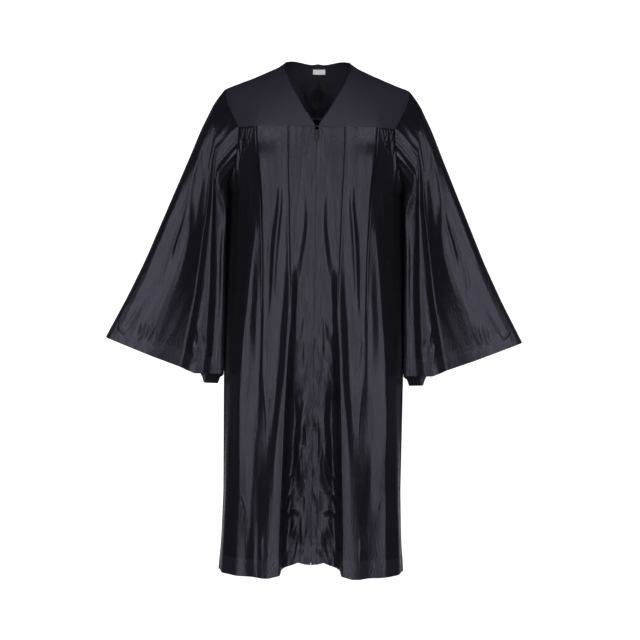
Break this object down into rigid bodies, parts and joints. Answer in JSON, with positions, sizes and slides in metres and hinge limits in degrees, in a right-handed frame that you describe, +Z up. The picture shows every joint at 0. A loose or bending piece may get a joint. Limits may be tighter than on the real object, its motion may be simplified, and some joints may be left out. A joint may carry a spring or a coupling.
{
  "type": "graduation gown",
  "caption": "Full-length graduation gown with a V neck, pleated fronts under a fused yoke, gathered back, wide bell sleeves and a front zip, filled out as worn.",
  "frame": {"origin": "on the wearer's centre line between the shoulders, where the neck comes out and the yoke rests on the shoulders", "axes": "+Z up, -Y the way the gown faces, +X towards the wearer's left"},
  "size_m": [0.983, 0.3237, 1.2092],
  "materials": {
    "satin": "black polyester satin with a soft sheen",
    "fused_satin": "the same satin, fused to a stiffener, flatter and greyer",
    "zip_tape": "matt black woven tape",
    "zip_metal": "black enamel with worn bright edges",
    "label": "white woven satin, bare"
  },
  "bodies": {
    "gown": {"front_yoke_left": "fused_satin", "front_yoke_right": "fused_satin", "back_yoke": "fused_satin", "front_panel_left": "satin", "front_panel_right": "satin", "back_panel": "satin", "sleeve_left": "satin", "sleeve_right": "satin", "zip_tape_left": "zip_tape", "zip_tape_right": "zip_tape", "zip_slider": "zip_metal", "zip_bottom_stop": "zip_metal", "label": "label"},
    "zip_pull": {"zip_pull": "zip_metal"}
  },
  "joints": [
    {"name": "pull_swing", "type": "hinge", "parent": "gown", "child": "zip_pull", "pos_m": [0, -0.12163, -0.1642], "axis": [-1, 0, 0], "range_deg": [0, 170]}
  ]
}
